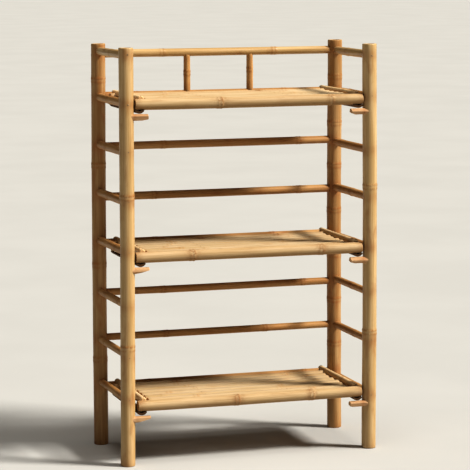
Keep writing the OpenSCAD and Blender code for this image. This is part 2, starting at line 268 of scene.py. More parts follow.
M_POST = bamboo("bamboo_post", (0.695, 0.525, 0.298), (0.58, 0.410, 0.196), (0.38, 0.210, 0.060),
                (0.34, 0.135, 0.028), (0.15, 0.060, 0.016), (0.66, 0.47, 0.25), coat=0.5)
# the rear posts take a darker copy of the post colour: painted shade, as if they stood in shade
M_POST_SHADED = bamboo("bamboo_post_rear", (0.57, 0.385, 0.190), (0.45, 0.265, 0.105), (0.28, 0.128, 0.038),
                     (0.36, 0.125, 0.030), (0.13, 0.048, 0.014), (0.60, 0.41, 0.21), coat=0.15)
M_CANE = bamboo("bamboo_cane", (0.665, 0.432, 0.203), (0.515, 0.298, 0.122), (0.33, 0.158, 0.050),
                (0.30, 0.105, 0.028), (0.13, 0.048, 0.014), (0.62, 0.43, 0.23), blotch=0.6)
M_SHELF = bamboo("bamboo_shelf", (0.625, 0.488, 0.312), (0.535, 0.392, 0.218), (0.32, 0.178, 0.062),
                 (0.33, 0.182, 0.080), (0.13, 0.065, 0.026), (0.66, 0.44, 0.22), rough=0.5, blotch=0.42,
                 coat=0.0)
M_SPLIT = bamboo("bamboo_split", (0.66, 0.540, 0.375), (0.58, 0.450, 0.275), (0.44, 0.29, 0.130),
                 (0.45, 0.22, 0.06), (0.22, 0.09, 0.026), (0.46, 0.28, 0.13), rough=0.5, coat=0.05,
                 streak=0.42, blotch=0.38)
# the end rods take a paler colour than the other canes: painted light on their sides that face away from the key
M_ROD_WITH_PAINTED_LIGHT = bamboo("bamboo_rod_painted_light", (0.90, 0.72, 0.47), (0.84, 0.65, 0.39), (0.66, 0.44, 0.22),
               (0.52, 0.29, 0.11), (0.24, 0.11, 0.035), (0.62, 0.42, 0.22), rough=0.5, blotch=0.3, coat=0.1)
# the end battens are coloured near black: painted shade, as they sit in the shadow under the rails
M_BATTEN_PAINTED_SHADE = bamboo("bamboo_batten_painted_shade", (0.20, 0.115, 0.050), (0.14, 0.070, 0.026), (0.07, 0.032, 0.012),
                (0.06, 0.025, 0.010), (0.04, 0.018, 0.008), (0.09, 0.048, 0.022), rough=0.7, coat=0.0)
M_PEG = bamboo("bamboo_peg", (0.63, 0.435, 0.260), (0.53, 0.335, 0.180), (0.36, 0.19, 0.080),
               (0.36, 0.15, 0.045), (0.17, 0.065, 0.02), (0.62, 0.42, 0.22), rough=0.55, coat=0.0)


def nail_steel(name, base, rust, glint, metal=0.95):
    g = Graph(name)
    geo = g.t.nodes.new("ShaderNodeTexCoord").outputs["Object"]
    a = g.noise(geo, 900.0, 4.0, 0.6)
    b = g.noise(geo, 3200.0, 2.0, 0.5)
    col = g.mix(g.ramp(a, 0.42, 0.62), base, rust)
    col = g.mix(g.ramp(b, 0.55, 0.75, 0.0, 0.5), col, glint)
    g.link(col, g.bsdf.inputs["Base Color"])
    g.link(g.ramp(a, 0.4, 0.65, 0.35, 0.8), g.bsdf.inputs["Roughness"])
    g.link(g.ramp(a, 0.42, 0.62, metal, 0.15), g.bsdf.inputs["Metallic"])
    g.link(g.bump(b, 0.3, 0.0002), g.bsdf.inputs["Normal"])
    return g.mat


M_NAIL = nail_steel("nail_steel", (0.40, 0.30, 0.18), (0.30, 0.17, 0.07), (0.50, 0.41, 0.28), 0.45)
M_TACK = nail_steel("tack_steel", (0.52, 0.42, 0.27), (0.38, 0.24, 0.11), (0.62, 0.54, 0.40), 0.45)


# ------------------------------------------------------------------ meshes
def seed_of(name):
    return zlib.crc32(name.encode())


def unit(v):
    return v / np.linalg.norm(v)


class Mesh:
    """Collects rings, strips and their vertex marks, then makes one object."""

    def __init__(self):
        self.v, self.f, self.cane, self.marks, self.wear = [], [], [], [], []
        self.n = 0

    def add(self, v, faces, cane, marks, wear):
        self.v.append(v)
        self.cane.append(cane)
        self.marks.append(marks)
        self.wear.append(wear)
        self.f.extend([tuple(i + self.n for i in f) for f in faces])
        self.n += len(v)

    def make(self, name, mat, body, nodes, sharp=42):
        me = bpy.data.meshes.new(name)
        me.from_pydata(np.concatenate(self.v).tolist(), [], self.f)
        for key, rows in (("cane", self.cane), ("marks", self.marks), ("wear", self.wear)):
            at = me.attributes.new(key, "FLOAT_VECTOR", "POINT")
            at.data.foreach_set("vector", np.concatenate(rows).astype(np.float32).ravel())
        me.materials.append(mat)
        me.update()
        me.validate()
        me.shade_smooth()
        me.set_sharp_from_angle(angle=math.radians(sharp))
        ob = bpy.data.objects.new(name, me)
        bpy.context.scene.collection.objects.link(ob)
        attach(ob, body)
        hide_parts(*nodes)
        return ob


def ring_faces(rings, m, close_start=None, close_end=None):
    """Quads between rings of m vertices, with fans to a centre vertex at either end."""
    f = []
    for i in range(rings - 1):
        a, b = i * m, (i + 1) * m
        for j in range(m):
            k = (j + 1) % m
            f.append((a + j, a + k, b + k, b + j))
    if close_start is not None:
        f += [(close_start, (j + 1) % m, j) for j in range(m)]
    if close_end is not None:
        a = (rings - 1) * m
        f += [(close_end, a + j, a + (j + 1) % m) for j in range(m)]
    return f


def node_marks(s, at, gain=1.0, blush=0.0):
    """Per station: (ring, pale, brown) from the distances in mm to the nodes."""
    ring = np.zeros_like(s)
    pale = np.zeros_like(s)
    brown = np.zeros_like(s)
    for a in at:
        d = (s - a) / MM
        ring = np.maximum(ring, 0.22 * np.exp(-(d / 0.9) ** 2))
        pale = np.maximum(pale, 0.8 * np.exp(-((d - 0.8) / 1.9) ** 2))
        brown = np.maximum(brown, 0.8 * np.exp(-((d + 4.2) / 3.2) ** 2))
        brown = np.maximum(brown, np.exp(-((d - 5.4) / 4.2) ** 2))
        brown = np.maximum(brown, blush / gain * np.exp(-((d - 2.0) / 17.0) ** 2))
    return ring * gain, pale * gain, brown * gain


NEAR = (-16, -11, -7.5, -5, -3.4, -2.3, -1.4, -0.7, 0, 0.7, 1.4, 2.2, 3.0, 4.0, 5.2, 6.6, 8.4, 11, 15, 22)


def cane(mesh, key, p0, p1, r0, r1=None, at=(), seg=40, step=11.0, swell=1.0, bow=(0.0, 0.0), wander=0.35,
         end0=("cut", 1.0, 0.0, 0.0), end1=("cut", 1.0, 0.0, 0.0), tone=(0.1, 0.35), dirt=(), foot=None,
         ref=None, oval=0.012, offs0=(0.0, 0.0), offs1=(0.0, 0.0), gain=1.0, extra=(), shape=None, under=0.0,
         blush=0.0, deep=1.0, tips=0.0):
    """One cane from p0 to p1. at: distances in metres from p0 of its node rings.
    end: (kind, bevel mm, hollow depth mm, wall mm), kind "cut" or "cone".
    bow and offs: sideways shift in mm of the middle and of the ends.
    dirt: (distance, reach) pairs in metres where handling marks gather.
    gain: how strongly the node rings are coloured. blush: a mottled zone round them. deep: how dark the
    hollow of an open end is. tips: a brown mottle at both ends. extra: more stations along
    the cane. shape: moves the finished vertices, for a notch or a taper."""
    rng = np.random.default_rng(seed_of(key))
    r1 = r0 if r1 is None else r1
    p0, p1 = np.array(p0, float), np.array(p1, float)
    w = unit(p1 - p0)
    length = np.linalg.norm(p1 - p0)
    ref = np.array(ref if ref is not None else ((1, 0, 0) if abs(w[0]) < 0.8 else (0, 0, 1)), float)
    u = unit(ref - w * ref.dot(w))
    v = np.cross(w, u)
    at = sorted(a for a in at if 0.002 < a < length - 0.002)

    b0, b1 = end0[1] * MM, end1[1] * MM
    st = [b0, length - b1]
    st += list(np.linspace(b0, length - b1, max(3, int(length / (step * MM)) + 1)))
    for a in at:
        st += [a + d * MM for d in NEAR]
    st += list(extra)
    st = np.array(sorted(x for x in st if b0 <= x <= length - b1))
    keep = [0]
    for i in range(1, len(st)):
        if st[i] - st[keep[-1]] > 0.45 * MM:
            keep.append(i)
    st = st[keep]
    st[-1] = length - b1

    th = np.arange(seg) / seg * 2 * math.pi
    edges = [0.0] + at + [length]
    phase = rng.uniform(0, 2 * math.pi, len(edges))
    ecc = rng.uniform(0.3, 1.0, len(edges)) * oval
    tones = rng.uniform(tone[0], tone[1], len(edges))
    which = np.searchsorted(np.array(at), st) if at else np.zeros(len(st), int)

    S, T = np.meshgrid(st, th, indexing="ij")
    base = r0 + (r1 - r0) * S / length
    k = which[:, None]
    R = base * (1 + ecc[k] * np.cos(2 * (T - phase[k])))
    size = (base / 0.0175) ** 0.75 * MM * swell
    side = rng.uniform(0, 2 * math.pi)
    for n, a in enumerate(at):
        d = (S - a) / MM
        amp = rng.uniform(0.8, 1.2)
        lump = 0.62 * np.exp(-((d + 3.6) / 2.7) ** 2) + 0.80 * np.exp(-((d - 4.6) / 3.1) ** 2) \
            + 0.16 * np.exp(-(d / 0.9) ** 2) + 0.40 * np.exp(-np.abs(d) / 11.0)
        turn = side + n * math.pi + rng.uniform(-0.3, 0.3)
        da = np.angle(np.exp(1j * (T - turn)))
        groove = -0.75 * np.exp(-(da / 0.34) ** 2) * np.where(d > 0, np.exp(-np.abs(d) / 40.0) * (1 - np.exp(-np.abs(d) / 4.0)), 0)
        bud = 1.0 * np.exp(-(da / 0.20) ** 2) * np.exp(-((d - 4.5) / 3.0) ** 2)
        R = R + size * (amp * lump + groove + bud)
    f = rng.uniform(0, 2 * math.pi, 6)
    R = R + 0.10 * MM * (np.sin(3 * T + S / 0.060 + f[0]) + np.sin(5 * T - S / 0.085 + f[1]) * 0.6
                         + np.sin(S / 0.031 + f[2]) * 0.8) * (base / 0.0175)

    # centre line: a slow bow, and a small change of direction at each node
    knots = np.array(edges)
    zx = np.concatenate([[0], rng.uniform(-1, 1, len(at)) * wander, [0]]) * MM
    zy = np.concatenate([[0], rng.uniform(-1, 1, len(at)) * wander, [0]]) * MM

    def centre(s):
        t = np.clip(s / length, 0, 1)
        hump = np.sin(np.pi * t)
        cx = hump * bow[0] * MM + np.interp(s, knots, zx) + (offs0[0] * (1 - t) + offs1[0] * t) * MM
        cy = hump * bow[1] * MM + np.interp(s, knots, zy) + (offs0[1] * (1 - t) + offs1[1] * t) * MM
        return p0 + np.outer(s, w) + np.outer(cx, u) + np.outer(cy, v)

    rings_s, rings_r, rings_cut = [], [], []

    def end(kind, bevel, depth, wall, s_end, sgn, outer, rr):
        """Rings from the middle of the cut face out to the cane's skin."""
        out = []
        rim = outer / rr
        if depth > 0:
            inner = rr - wall * MM
            out.append((s_end + sgn * (depth - 0.6) * MM, inner * 0.35, 1.0))
            out.append((s_end + sgn * depth * MM, inner * 0.75, 1.0))
            out.append((s_end + sgn * (depth - 0.2) * MM, inner * 0.93, 1.0))
            out.append((s_end + sgn * (depth - 1.6) * MM, inner, 1.0))
            out.append((s_end + sgn * max(0.8, depth * 0.45) * MM, inner * 1.01, 1.0))
            out.append((s_end + sgn * 0.5 * MM, inner * 1.015, 1.0))
            out.append((s_end, inner + 0.45 * MM, 1.0))
        else:
            out.append((s_end + sgn * 0.25 * MM, rr * 0.28, 1.0))
            out.append((s_end + sgn * 0.05 * MM, rr * 0.62, 1.0))
        if kind == "cone":
            out.append((s_end, rr - bevel * 1.0 * MM, 1.0))
            out.append((s_end + sgn * 0.30 * bevel * MM, rr - 0.52 * bevel * MM, 0.9))
            out.append((s_end + sgn * 0.66 * bevel * MM, rr - 0.18 * bevel * MM, 0.3))
        else:
            out.append((s_end, rr - bevel * MM, 1.0))
            out.append((s_end + sgn * 0.12 * bevel * MM, rr - 0.50 * bevel * MM, 0.7))
            out.append((s_end + sgn * 0.50 * bevel * MM, rr - 0.13 * bevel * MM, 0.0))
        return out, rim

    start, rim0 = end(*end0, 0.0, 1.0, R[0], r0)
    stop, rim1 = end(*end1, length, -1.0, R[-1], r1)
    S_all = np.concatenate([np.array([[s] * seg for s, _, _ in start]), S, np.array([[s] * seg for s, _, _ in reversed(stop)])])
    R_all = np.concatenate([np.array([q * rim0 for _, q, _ in start]), R, np.array([q * rim1 for _, q, _ in reversed(stop)])])
    cut = np.concatenate([[c for _, _, c in start], np.zeros(len(st)), [c for _, _, c in reversed(stop)]])
    T_all = np.tile(th, (len(S_all), 1))
    # a saw cut is never quite square
    tilt = rng.uniform(-0.35, 0.35, 4) * MM
    lean = np.zeros_like(S_all)
    near0 = np.exp(-np.maximum(S_all, 0) / 0.004)
    near1 = np.exp(-np.maximum(length - S_all, 0) / 0.004)
    lean += near0 * (np.cos(T_all) * tilt[0] + np.sin(T_all) * tilt[1]) * R_all / r0
    lean += near1 * (np.cos(T_all) * tilt[2] + np.sin(T_all) * tilt[3]) * R_all / r1

    C = centre(S_all[:, 0])
    X = C[:, None, :] + (R_all * np.cos(T_all))[:, :, None] * u + (R_all * np.sin(T_all))[:, :, None] * v \
        + lean[:, :, None] * w
    rows = len(S_all)
    verts = X.reshape(-1, 3)
    c0 = C[0] + w * (-0.0 if end0[2] > 0 else 0.0003)
    c1 = C[-1] - w * (-0.0 if end1[2] > 0 else 0.0003)
    verts = np.vstack([verts, c0, c1])
    if shape is not None:
        verts = shape(verts)
    offset = rng.uniform(-3, 3, 3)
    cc = np.stack([R_all * np.cos(T_all) + offset[0], R_all * np.sin(T_all) + offset[1], S_all + offset[2]], -1).reshape(-1, 3)
    cc = np.vstack([cc, [offset[0], offset[1], S_all[0, 0] + offset[2]], [offset[0], offset[1], S_all[-1, 0] + offset[2]]])
    s_row = np.clip(S_all[:, 0], 0, length)
    ring, pale, brown = node_marks(s_row, at, gain, blush)
    brown = np.maximum(brown, tips * (np.exp(-(s_row / 0.013) ** 2) + np.exp(-((length - s_row) / 0.013) ** 2)))
    mk = np.repeat(np.stack([ring, pale, brown], -1), seg, axis=0)
    mk = np.vstack([mk, [0, 0, 0], [0, 0, 0]])
    which_all = np.searchsorted(np.array(at), s_row) if at else np.zeros(rows, int)
    tn = tones[which_all]
    dr = np.zeros(rows)
    for a, reach in dirt:
        dr = np.maximum(dr, np.exp(-((s_row - a) / reach) ** 2))
    if foot is not None:
        dr = np.maximum(dr, np.exp(-s_row / foot))
    # the hollow behind a cut face is darkened: painted shade inside the recess, set by deep
    if end0[2] > 0:
        dr[:5] = np.array((1.0, 1.0, 1.0, 0.85, 0.70)) * deep
    if end1[2] > 0:
        dr[-5:] = np.array((0.70, 0.85, 1.0, 1.0, 1.0)) * deep
    wr = np.repeat(np.stack([tn, dr, cut], -1), seg, axis=0)
    # the lower side of a lying cane is darkened: painted shade under it
    low = -(np.cos(T_all) * u[2] + np.sin(T_all) * v[2]).ravel()
    wr[:, 0] += under * np.clip(low * 1.15 + 0.10, 0, 1)
    wr = np.vstack([wr, [tn[0], float(end0[2] > 0) * deep, 1], [tn[-1], float(end1[2] > 0) * deep, 1]])
    faces = ring_faces(rows, seg, rows * seg, rows * seg + 1)
    mesh.add(verts, faces, cc, mk, wr)
    return mesh


def strip(mesh, key, p0, p1, profile, across, upv, at=(), step=9.0, swell=1.0, tone=(0.0, 0.3), wave=0.25,
          skew=0.5, crown=None, dirt=()):
    """One length of split cane from p0 to p1. profile: closed list of
    (x, z, is_skin) in mm, seen from p0, going round counter-clockwise."""
    rng = np.random.default_rng(seed_of(key))
    p0, p1 = np.array(p0, float), np.array(p1, float)
    w = unit(p1 - p0)
    length = np.linalg.norm(p1 - p0)
    a_, u_ = np.array(across, float), np.array(upv, float)
    at = sorted(a for a in at if 0.004 < a < length - 0.004)
    st = list(np.linspace(0.6 * MM, length - 0.6 * MM, int(length / (step * MM)) + 2))
    for a in at:
        st += [a + d * MM for d in NEAR[1:-1]]
    st = np.array(sorted(x for x in st if 0.6 * MM <= x <= length - 0.6 * MM))
    keep = [0]
    for i in range(1, len(st)):
        if st[i] - st[keep[-1]] > 0.45 * MM:
            keep.append(i)
    st = st[keep]
    prof = np.array([(x, z) for x, z, _ in profile]) * MM
    skin = np.array([s for _, _, s in profile], float)
    m = len(prof)
    cen = prof.mean(0)
    f = rng.uniform(0, 2 * math.pi, 6)
    rows = []
    for s in st:
        q = prof.copy()
        lump = 0.0
        for a in at:
            d = (s - a) / MM
            lump += 0.38 * math.exp(-((d + 3.4) / 2.5) ** 2) + 0.48 * math.exp(-((d - 4.4) / 2.8) ** 2) \
                + 0.10 * math.exp(-(d / 0.9) ** 2) + 0.22 * math.exp(-abs(d) / 9.0)
        q[:, 1] += skin * lump * MM * swell
        # split edges run a little wild, and the crown rises and falls
        q[:, 0] += wave * MM * (math.sin(s / 0.047 + f[0]) + 0.6 * math.sin(s / 0.021 + f[1])) * 0.5
        q[:, 0] = cen[0] + (q[:, 0] - cen[0]) * (1 + 0.010 * math.sin(s / 0.061 + f[2]))
        q[:, 1] += skin * 0.16 * MM * (math.sin(s / 0.083 + f[3]) + 0.5 * math.sin(s / 0.034 + f[4]))
        rows.append(q)
    rows = np.array(rows)
    ends0 = [(0.0, 0.30, 1), (0.0, 0.80, 1), (0.0, 0.955, 0.9)]
    allrows, alls, cut = [], [], []
    for s, k, c in ends0:
        allrows.append(cen + (rows[0] - cen) * k)
        alls.append(s)
        cut.append(c)
    for s, q in zip(st, rows):
        allrows.append(q)
        alls.append(s)
        cut.append(0.0)
    for s, k, c in reversed(ends0):
        allrows.append(cen + (rows[-1] - cen) * k)
        alls.append(length - s)
        cut.append(c)
    Q = np.array(allrows)
    s_all = np.array(alls)
    tilt = rng.uniform(-skew, skew, 4) * MM
    width = max(1e-6, np.ptp(prof[:, 0]) / 2)
    near0 = np.exp(-s_all / 0.005)[:, None]
    near1 = np.exp(-(length - s_all) / 0.005)[:, None]
    lean = near0 * (Q[:, :, 0] - cen[0]) / width * tilt[0] + near1 * (Q[:, :, 0] - cen[0]) / width * tilt[1]
    X = p0 + (s_all[:, None] + lean)[:, :, None] * w + Q[:, :, 0][:, :, None] * a_ + Q[:, :, 1][:, :, None] * u_
    rows_n = len(Q)
    verts = X.reshape(-1, 3)
    verts = np.vstack([verts, X[0].mean(0), X[-1].mean(0)])
    offset = rng.uniform(-3, 3, 3)
    cc = np.stack([Q[:, :, 0] + offset[0], Q[:, :, 1] + offset[1], np.repeat(s_all[:, None], m, 1) + offset[2]], -1).reshape(-1, 3)
    cc = np.vstack([cc, cc[:m].mean(0), cc[-m:].mean(0)])
    ring, pale, brown = node_marks(s_all, at, 0.45)
    mk = np.stack([ring[:, None] * skin[None, :], pale[:, None] * skin[None, :], brown[:, None] * skin[None, :]], -1).reshape(-1, 3)
    mk = np.vstack([mk, [0, 0, 0], [0, 0, 0]])
    edges = np.array(at)
    tones = rng.uniform(tone[0], tone[1], len(at) + 1)
    tn = tones[np.searchsorted(edges, s_all)] if len(at) else np.full(rows_n, tones[0])
    dr = np.maximum(np.exp(-s_all / 0.004), np.exp(-(length - s_all) / 0.004)) * 0.5
    for a, reach in dirt:
        dr = np.maximum(dr, np.exp(-((s_all - a) / reach) ** 2) * 0.25)
    inside = (1 - skin) * 0.9
    ct = np.maximum(np.array(cut)[:, None], inside[None, :])
    wr = np.stack([np.repeat(tn[:, None], m, 1), np.repeat(dr[:, None], m, 1), ct], -1).reshape(-1, 3)
    wr = np.vstack([wr, [tn[0], 0, 1], [tn[-1], 0, 1]])
    mesh.add(verts, ring_faces(rows_n, m, rows_n * m, rows_n * m + 1), cc, mk, wr)
    return mesh


def nail(mesh, tip, head, shank, head_r, dome, seg=14):
    """A round nail from its tip to the middle of its head, with a low domed head."""
    tip, head = np.array(tip, float), np.array(head, float)
    w = unit(head - tip)
    length = np.linalg.norm(head - tip)
    ref = np.array((1, 0, 0) if abs(w[0]) < 0.8 else (0, 0, 1), float)
    u = unit(ref - w * ref.dot(w))
    v = np.cross(w, u)
    prof = [(0.0006, shank * 0.5), (0.0022, shank), (length - 0.0011, shank), (length - 0.0009, head_r * 0.86),
            (length - 0.0006, head_r), (length - 0.0002, head_r * 0.94), (length + dome * 0.6, head_r * 0.62),
            (length + dome, head_r * 0.22)]
    th = np.arange(seg) / seg * 2 * math.pi
    X = np.concatenate([tip + s * w + np.outer(np.cos(th) * q, u) + np.outer(np.sin(th) * q, v) for s, q in prof])
    X = np.vstack([X, tip, tip + w * (length + dome * 1.04)])
    z = np.zeros_like(X)
    mesh.add(X, ring_faces(len(prof), seg, len(prof) * seg, len(prof) * seg + 1), X.copy(), z, z)


# ------------------------------------------------------------------ the stand
def mid(node):
    lo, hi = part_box(node)
    return np.array((lo + hi) / 2), np.array(hi - lo)


RING = 0.0006
posts = {}
for name in ("post_front_left", "post_front_right", "post_rear_left", "post_rear_right"):
    c, d = mid(name)
    posts[name] = (c[0], c[1], d[2], d[0] / 2 - RING)
PX = (posts["post_front_right"][0] - posts["post_front_left"][0]) / 2
PY = (posts["post_rear_left"][1] - posts["post_front_left"][1]) / 2
PR = posts["post_front_left"][3]

# heights of the rungs and back rails, from the frame
left = {i: mid("left_rung_%d" % i)[0][2] for i in range(1, 9)}
right = {i: mid("right_rung_%d" % i)[0][2] for i in range(1, 9)}
back = {i: mid("back_rail_%d" % i)[0][2] for i in range(1, 9)}

# lean of the post ends in mm: (x, y) at the foot and at the top
LEAN = {
    "post_front_left": ((-0.6, 0.0), (3.2, 0.0)),
    "post_front_right": ((0.6, 0.0), (-2.6, 0.0)),
    "post_rear_left": ((-2.8, 0.0), (0.2, 0.0)),
    "post_rear_right": ((2.4, 0.0), (1.0, 0.0)),
}
POST_NODES = {
    "post_front_left": (0.285, 0.646),
    "post_front_right": (0.291, 0.651),
    "post_rear_left": (0.215, 0.452, 0.700, 0.910),
    "post_rear_right": (0.105, 0.220, 0.334, 0.450, 0.566, 0.680, 0.788, 0.906),
}
POST_R = {
    "post_front_left": (17.6, 17.3), "post_front_right": (17.4, 17.5),
    "post_rear_left": (17.7, 17.2), "post_rear_right": (18.1, 17.9),
}
for name, (x, y, h, r) in posts.items():
    zs = left if name.endswith("left") else right
    marks = [(z, 0.014) for z in zs.values()]
    if "rear" in name:
        marks += [(z, 0.014) for z in back.values()]
    (fx, fy), (tx, ty) = LEAN[name]
    me = Mesh()
    ra, rb = POST_R[name]
    cane(me, name, (x, y, 0), (x, y, h), ra * MM, rb * MM, at=POST_NODES[name], seg=56, step=9.0, swell=0.75,
         bow=((1.2, -0.8) if "front" in name else (-1.0, 0.8)), wander=0.6, ref=(1, 0, 0),
         end0=("cut", 1.4, 6.5, 5.3), end1=("cut", 2.0, 6.5, 5.3), tone=(0.0, 0.28), dirt=marks, foot=0.020,
         offs0=(fx, fy), offs1=(tx, ty), gain=0.9 if "front" in name else 0.6)
    me.make(name + "_cane", M_POST_SHADED if "rear" in name else M_POST, "frame", [name])


def post_x(name, z):
    """Lean of a post at height z, in metres, as cane() gives it."""
    (fx, _), (tx, _) = LEAN[name]
    t = z / 1.0
    hump = math.sin(math.pi * t) * (1.2 if "front" in name else -1.0)
    return (fx * (1 - t) + tx * t + hump) * MM


# side rungs
for side, sx in (("left", -1), ("right", 1)):
    for i in range(1, 9):
        node = "%s_rung_%d" % (side, i)
        c, d = mid(node)
        rng = np.random.default_rng(seed_of(node))
        r = d[2] / 2 - RING
        half = d[1] / 2
        off0 = post_x("post_front_%s" % side, c[2]) / MM
        off1 = post_x("post_rear_%s" % side, c[2]) / MM
        at = [half + rng.uniform(-75, 75) * MM]
        me = Mesh()
        cane(me, node, (c[0], c[1] - half, c[2]), (c[0], c[1] + half, c[2]), r * rng.uniform(0.97, 1.03),
             r * rng.uniform(0.95, 1.02), at=at, seg=36, step=8.0, bow=(rng.uniform(-0.6, 0.6), rng.uniform(-0.8, 0.8)),
             ref=(1, 0, 0), tone=(0.05, 0.55), dirt=((0.008, 0.010), (2 * half - 0.008, 0.010)),
             offs0=(off0, 0), offs1=(off1, 0), swell=0.9, gain=0.6)
        me.make(node + "_cane", M_POST if i == 8 else M_CANE, "frame", [node])

# back rails
for i in range(1, 9):
    node = "back_rail_%d" % i
    c, d = mid(node)
    rng = np.random.default_rng(seed_of(node))
    r = d[2] / 2 - RING
    half = d[0] / 2
    at = [half + v * MM for v in (rng.uniform(-225, -110), rng.uniform(110, 235))]
    me = Mesh()
    cane(me, node, (c[0] - half, c[1], c[2]), (c[0] + half, c[1], c[2]), r * rng.uniform(0.97, 1.0),
         r * rng.uniform(0.95, 1.0), at=at, seg=36, step=9.0, bow=(rng.uniform(-0.5, 0.0), rng.uniform(-0.8, 0.8)),
         ref=(0, 0, 1), tone=(0.1, 0.6), dirt=((0.008, 0.010), (2 * half - 0.008, 0.010)), swell=0.9, gain=0.6)
    me.make(node + "_cane", M_POST if i == 8 else M_CANE, "frame", [node])

# spindles of the top bay
for side in ("left", "right"):
    node = "back_spindle_" + side
    lo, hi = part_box(node)
    c, d = mid(node)
    r = d[0] / 2 - RING
    z0, z1 = lo.z + 0.004, hi.z - 0.004
    me = Mesh()
    cane(me, node, (c[0], c[1], z0), (c[0], c[1], z1), r, r * 0.97, at=[(z1 - z0) * (0.50 if side == "left" else 0.56)],
         seg=32, step=8.0, tone=(0.05, 0.3), dirt=((0.012, 0.006), (z1 - z0 - 0.012, 0.006)), swell=1.1, ref=(1, 0, 0))
    me.make(node + "_cane", M_CANE, "frame", [node])

# pegs
for level in ("bottom", "middle", "top"):
    node = level + "_shelf_pegs"
    lo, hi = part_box(node)
    r = (hi.z - lo.z) / 2
    z, y = (lo.z + hi.z) / 2, (lo.y + hi.y) / 2
    reach = PX - PR - 0.036
    me = Mesh()
    for sx in (-1, 1):
        rng = np.random.default_rng(seed_of(node + str(sx)))
        # the knife has left long flats, a slope under the free end and a step on top
        flats = [(a, rng.uniform(0.80, 0.93), rng.uniform(-0.05, 0.05)) for a in rng.uniform(0, 2 * math.pi, 7)]
        long = sx < 0 and level != "top"
        slope, run = (1.25, 0.034) if long else (rng.uniform(0.45, 0.75), 0.014)
        step_at = rng.uniform(0.010, 0.016)

        def whittle(v, sx=sx, flats=flats, slope=slope, run=run, step_at=step_at):
            v = v.copy()
            free = np.clip((np.abs(v[:, 0]) - reach) / 0.036, 0, 2)
            dy, dz = v[:, 1] - y, v[:, 2] - z
            for a, d, lean in flats:
                n = dy * math.cos(a) + dz * math.sin(a)
                over = np.maximum(n - r * (d + lean * free), 0) * np.clip((1.35 - free) / 0.3, 0, 1)
                dy = dy - over * math.cos(a)
                dz = dz - over * math.sin(a)
            cutaway = np.clip(1 - (np.abs(v[:, 0]) - reach) / run, 0, 1)
            dz = np.maximum(dz, -r + cutaway * r * slope + 0.12 * r * np.sin(dy / 0.004) * cutaway)
            lip = np.clip(1 - (np.abs(v[:, 0]) - reach) / step_at, 0, 1) > 0
            dz = np.minimum(dz, np.where(lip, r * 0.86 + dy * 0.10, r * 2))
            v[:, 1], v[:, 2] = y + dy, z + dz
            return v

        cane(me, node + str(sx), (sx * (PX - 0.004), y, z), (sx * reach, y, z), r, r * rng.uniform(0.97, 1.0), at=(),
             seg=44, step=1.4, end1=("cone", rng.uniform(1.0, 1.8), 0.0, 0.0), tone=(0.1, 0.5),
             dirt=((0.016, 0.005),), oval=0.03, ref=(0, 0, 1), shape=whittle)
    me.make(node + "_cut", M_PEG, "frame", [node])

# nails through the posts
me = Mesh()
for sx in (-1, 1):
    for sy in (-1, 1):
        for i in range(1, 9):
            zr = (left if sx < 0 else right)[i]
            z = zr + (0.0025 if zr > back[i] - 0.0001 else -0.0025)
            pn = "post_%s_%s" % ("front" if sy < 0 else "rear", "left" if sx < 0 else "right")
            x = sx * PX + post_x(pn, z)
            nail(me, (x, sy * (PY - 0.0408), z), (x, sy * (PY + PR + 0.0002), z), 0.0012, 0.0021, 0.0006)
me.make("rung_nails_round", M_NAIL, "frame", ["rung_nails"], sharp=60)
me = Mesh()
for sx in (-1, 1):
    for i in range(1, 9):
        zr = (left if sx < 0 else right)[i]
        z = back[i] - (0.0025 if zr > back[i] - 0.0001 else -0.0025)
        x = post_x("post_rear_%s" % ("left" if sx < 0 else "right"), z)
        nail(me, (sx * (PX - 0.0408), PY, z), (sx * (PX + PR + 0.0002) + x, PY, z), 0.0012, 0.0021, 0.0006)
me.make("rail_nails_round", M_NAIL, "frame", ["rail_nails"], sharp=60)

# ------------------------------------------------------------------ shelves
FRONT_NODES = {"bottom": (-0.037, 0.155), "middle": (-0.147, 0.180), "top": (-0.077, 0.204)}

REAR_NODES = {"bottom": (-0.130, 0.160), "middle": (-0.060, 0.140), "top": (-0.150, 0.090)}


def crown(width, height, rad, n=13, hollow=2.0):
    """Section of a split cane, in mm: skin over the crown, a flat to slightly
    hollow inside. The crown's top is at z = 0."""
    w2 = width / 2
    xs = np.linspace(-w2, w2, n)
    top = [(x, math.sqrt(rad * rad - x * x) - rad, 1.0) for x in xs]
    edge = top[0][1]
    pts = [(x, z, s) for x, z, s in top[::-1]]
    pts[0] = (w2, top[-1][1] - 0.35, 0.6)
    pts[-1] = (-w2, top[0][1] - 0.35, 0.6)
    body = [(-w2 + 0.25, edge - 1.2, 0.0), (-w2 + 0.1, -height + 0.5, 0.0), (-w2 + 0.7, -height, 0.0)]
    for x in np.linspace(-w2 + 2.5, w2 - 2.5, 7):
        body.append((x, -height + hollow * (1 - (x / w2) ** 2), 0.0))
    body += [(w2 - 0.7, -height, 0.0), (w2 - 0.1, -height + 0.5, 0.0), (w2 - 0.25, edge - 1.2, 0.0)]
    return pts + body


